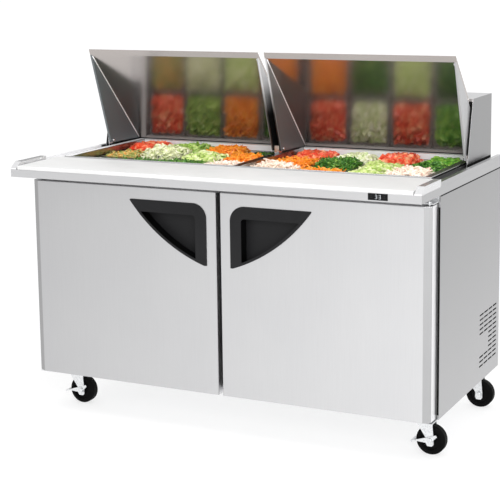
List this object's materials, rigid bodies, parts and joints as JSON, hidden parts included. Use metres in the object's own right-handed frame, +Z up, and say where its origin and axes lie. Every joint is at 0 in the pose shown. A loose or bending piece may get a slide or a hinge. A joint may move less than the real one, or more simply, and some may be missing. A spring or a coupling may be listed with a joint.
{
  "type": "sandwich prep table",
  "caption": "Refrigerated sandwich prep table on casters, with two doors, a cutting board, food pans and two folding lids.",
  "frame": {"origin": "centre of the footprint of the bounding box, at floor level", "axes": "+X to the user's right along the front, +Y from the user towards the back, +Z up"},
  "size_m": [1.53, 0.868, 1.3158],
  "materials": {
    "casing_steel": "satin",
    "pan_steel": "satin",
    "lid_steel": "polished",
    "foam": "matte",
    "liner_plastic": "satin",
    "gasket_rubber": "matte",
    "grip_plastic": "satin",
    "zinc": "satin",
    "tyre_rubber": "satin",
    "galvanised": "satin",
    "liner_aluminium": "satin",
    "display_plastic": "gloss",
    "bolt_steel": "polished",
    "board_plastic": "matte",
    "rail_steel": "satin",
    "wire_coating": "gloss",
    "fin_aluminium": "satin",
    "cover_plastic": "matte",
    "motor_enamel": "gloss",
    "copper": "satin"
  },
  "bodies": {
    "cabinet": {"side_panel_left": "casing_steel", "food_pans_left": "pan_steel", "side_panel_right": "casing_steel", "food_pans_right": "pan_steel", "back_panel": "casing_steel", "front_frame": "casing_steel", "countertop": "casing_steel", "board_brackets": "casing_steel", "hood_box": "casing_steel", "base_tray": "galvanised", "drain_pan": "galvanised", "cabinet_liner": "liner_aluminium", "insulation_sides": "foam", "insulation_floor": "foam", "insulation_rear": "foam", "digital_display": "display_plastic", "bracket_screws": "bolt_steel", "lid_pivot_posts": "bolt_steel", "pan_rail": "rail_steel", "pan_support_bars": "rail_steel", "hood_base_strip": "gasket_rubber", "door_hinge_brackets": "zinc", "caster_plates": "zinc", "shelf_clips": "zinc", "shelves": "wire_coating", "evaporator_coil": "fin_aluminium", "condenser_coil": "fin_aluminium", "evaporator_cover": "cover_plastic", "fan_motors": "motor_enamel", "compressor": "motor_enamel", "refrigerant_tubing": "copper", "control_box": "grip_plastic", "cord_gland": "grip_plastic"},
    "door_left": {"door_skin_left": "casing_steel", "door_core_left": "foam", "door_liner_left": "liner_plastic", "door_gasket_left": "gasket_rubber", "door_grip_left": "grip_plastic"},
    "lid_left": {"lid_panel_left": "lid_steel", "lid_cheeks_left": "lid_steel"},
    "door_right": {"door_skin_right": "casing_steel", "door_core_right": "foam", "door_liner_right": "liner_plastic", "door_gasket_right": "gasket_rubber", "door_grip_right": "grip_plastic"},
    "lid_right": {"lid_panel_right": "lid_steel", "lid_cheeks_right": "lid_steel"},
    "board": {"cutting_board": "board_plastic"},
    "fork_front_left": {"caster_fork_front_left": "zinc"},
    "wheel_front_left": {"caster_wheel_front_left": "tyre_rubber"},
    "fork_front_right": {"caster_fork_front_right": "zinc"},
    "wheel_front_right": {"caster_wheel_front_right": "tyre_rubber"},
    "fork_rear_left": {"caster_fork_rear_left": "zinc"},
    "wheel_rear_left": {"caster_wheel_rear_left": "tyre_rubber"},
    "fork_rear_right": {"caster_fork_rear_right": "zinc"},
    "wheel_rear_right": {"caster_wheel_rear_right": "tyre_rubber"},
    "brake_front_left": {"caster_brake_front_left": "zinc"},
    "brake_front_right": {"caster_brake_front_right": "zinc"},
    "evaporator_blades": {"evaporator_fan": "cover_plastic"},
    "condenser_blades": {"condenser_fan": "cover_plastic"}
  },
  "joints": [
    {"name": "door_left_hinge", "type": "hinge", "parent": "cabinet", "child": "door_left", "pos_m": [-0.74, -0.285, 0.509], "axis": [0, 0, -1], "range_deg": [0, 90]},
    {"name": "door_right_hinge", "type": "hinge", "parent": "cabinet", "child": "door_right", "pos_m": [0.74, -0.285, 0.509], "axis": [0, 0, 1], "range_deg": [0, 90]},
    {"name": "lid_left_hinge", "type": "hinge", "parent": "cabinet", "child": "lid_left", "pos_m": [-0.365, 0.17, 0.955], "axis": [1, 0, 0], "range_deg": [0, 70.9]},
    {"name": "lid_right_hinge", "type": "hinge", "parent": "cabinet", "child": "lid_right", "pos_m": [0.365, 0.17, 0.955], "axis": [1, 0, 0], "range_deg": [0, 70.9]},
    {"name": "board_lift", "type": "slide", "parent": "cabinet", "child": "board", "axis": [0, 0, 1], "range_m": [0, 0.15]},
    {"name": "swivel_front_left", "type": "hinge", "parent": "cabinet", "child": "fork_front_left", "pos_m": [-0.688, -0.164, 0.118], "axis": [0, 0, 1], "continuous": true},
    {"name": "roll_front_left", "type": "hinge", "parent": "fork_front_left", "child": "wheel_front_left", "pos_m": [-0.662, -0.164, 0.051], "axis": [0, 1, 0], "continuous": true},
    {"name": "pedal_front_left", "type": "hinge", "parent": "fork_front_left", "child": "brake_front_left", "pos_m": [-0.662, -0.164, 0.051], "axis": [0, -1, 0], "range_deg": [0, 15]},
    {"name": "swivel_front_right", "type": "hinge", "parent": "cabinet", "child": "fork_front_right", "pos_m": [0.688, -0.164, 0.118], "axis": [0, 0, 1], "continuous": true},
    {"name": "roll_front_right", "type": "hinge", "parent": "fork_front_right", "child": "wheel_front_right", "pos_m": [0.714, -0.164, 0.051], "axis": [0, 1, 0], "continuous": true},
    {"name": "pedal_front_right", "type": "hinge", "parent": "fork_front_right", "child": "brake_front_right", "pos_m": [0.714, -0.164, 0.051], "axis": [0, -1, 0], "range_deg": [0, 15]},
    {"name": "swivel_rear_left", "type": "hinge", "parent": "cabinet", "child": "fork_rear_left", "pos_m": [-0.688, 0.387, 0.118], "axis": [0, 0, 1], "continuous": true},
    {"name": "roll_rear_left", "type": "hinge", "parent": "fork_rear_left", "child": "wheel_rear_left", "pos_m": [-0.662, 0.387, 0.051], "axis": [0, 1, 0], "continuous": true},
    {"name": "swivel_rear_right", "type": "hinge", "parent": "cabinet", "child": "fork_rear_right", "pos_m": [0.688, 0.387, 0.118], "axis": [0, 0, 1], "continuous": true},
    {"name": "roll_rear_right", "type": "hinge", "parent": "fork_rear_right", "child": "wheel_rear_right", "pos_m": [0.714, 0.387, 0.051], "axis": [0, 1, 0], "continuous": true},
    {"name": "evaporator_fan_spin", "type": "hinge", "parent": "cabinet", "child": "evaporator_blades", "pos_m": [0, 0.098, 0.49], "axis": [0, 1, 0], "continuous": true},
    {"name": "condenser_fan_spin", "type": "hinge", "parent": "cabinet", "child": "condenser_blades", "pos_m": [0.65, 0.32, 0.29], "axis": [1, 0, 0], "continuous": true}
  ]
}
